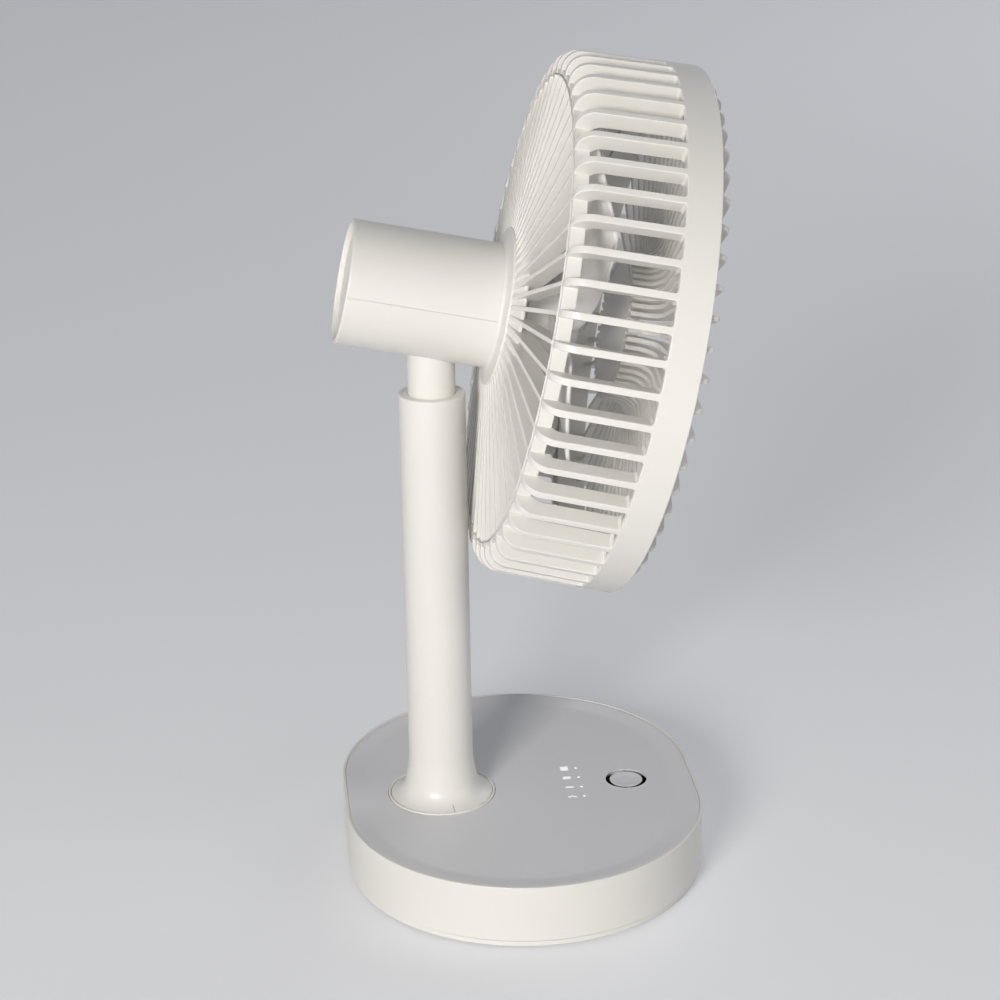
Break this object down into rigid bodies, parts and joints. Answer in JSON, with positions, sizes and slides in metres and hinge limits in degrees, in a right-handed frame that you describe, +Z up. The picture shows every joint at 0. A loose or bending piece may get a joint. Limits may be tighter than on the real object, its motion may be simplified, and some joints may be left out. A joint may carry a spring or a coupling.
{
  "type": "pedestal fan",
  "caption": "Table-size pedestal fan with a ribbed drum guard on a tilting motor housing, a telescopic column and an oblong rechargeable base with a push button.",
  "frame": {"origin": "on the floor under the middle of the base, the base standing on its rubber feet", "axes": "+Z up, the fan blows towards -Y, +X is to the left of someone the fan blows at"},
  "size_m": [0.2207, 0.159, 0.3503],
  "materials": {
    "warm_white_plastic": "fine satin moulding texture",
    "deck_plastic": "fine satin moulding texture",
    "blade_plastic": "smooth satin",
    "tube_finish": "smooth satin coating",
    "pale_inner_plastic": "smooth",
    "steel": "plain plated",
    "grey_rubber": "matt",
    "felt": "pressed felt",
    "cell_wrap": "shrink wrap",
    "board_green": "lacquered",
    "black_plastic": "smooth",
    "led_body": "smooth",
    "lens_plastic": "frosted"
  },
  "bodies": {
    "base": {"base_shell": "warm_white_plastic", "base_top_plate": "deck_plastic", "base_bottom_cover": "warm_white_plastic", "rubber_feet": "grey_rubber", "base_screws": "steel", "ballast_plate": "steel", "battery_cells": "cell_wrap", "battery_cradles": "pale_inner_plastic", "control_board": "board_green", "board_screws": "steel", "push_switch": "black_plastic", "indicator_leds": "led_body", "indicator_lenses": "lens_plastic", "charging_socket": "steel", "charging_board": "board_green", "column": "warm_white_plastic", "column_clamp_ring": "steel", "column_clamp_screws": "steel", "column_guide_bush": "warm_white_plastic"},
    "button": {"power_button": "deck_plastic"},
    "mast": {"mast_tube": "tube_finish", "mast_stop_ring": "pale_inner_plastic", "mast_friction_ring": "felt", "tilt_knuckle": "pale_inner_plastic", "tilt_pin": "steel", "tilt_washers": "pale_inner_plastic"},
    "head": {"housing_upper": "warm_white_plastic", "housing_lower": "warm_white_plastic", "housing_screws": "steel", "rear_cap": "warm_white_plastic", "motor": "steel", "motor_screws": "steel", "motor_mount_plate": "steel", "rear_guard": "warm_white_plastic", "guard_screws": "steel", "front_guard": "warm_white_plastic", "grille_screw": "steel", "front_cap": "warm_white_plastic"},
    "fan": {"motor_shaft": "steel", "impeller": "blade_plastic", "impeller_nut": "pale_inner_plastic"}
  },
  "joints": [
    {"name": "mast_height", "type": "slide", "parent": "base", "child": "mast", "axis": [0, 0, 1], "range_m": [0, 0.12]},
    {"name": "head_tilt", "type": "hinge", "parent": "mast", "child": "head", "pos_m": [0, 0.0347, 0.2534], "axis": [1, 0, 0], "range_deg": [-39, 0]},
    {"name": "fan_spin", "type": "hinge", "parent": "head", "child": "fan", "pos_m": [0, 0.0347, 0.2534], "axis": [0, -0.9781, -0.2079], "continuous": true},
    {"name": "button_press", "type": "slide", "parent": "base", "child": "button", "axis": [0, 0, -1], "range_m": [0, 0.0008], "stiffness_N_per_m": 600}
  ]
}
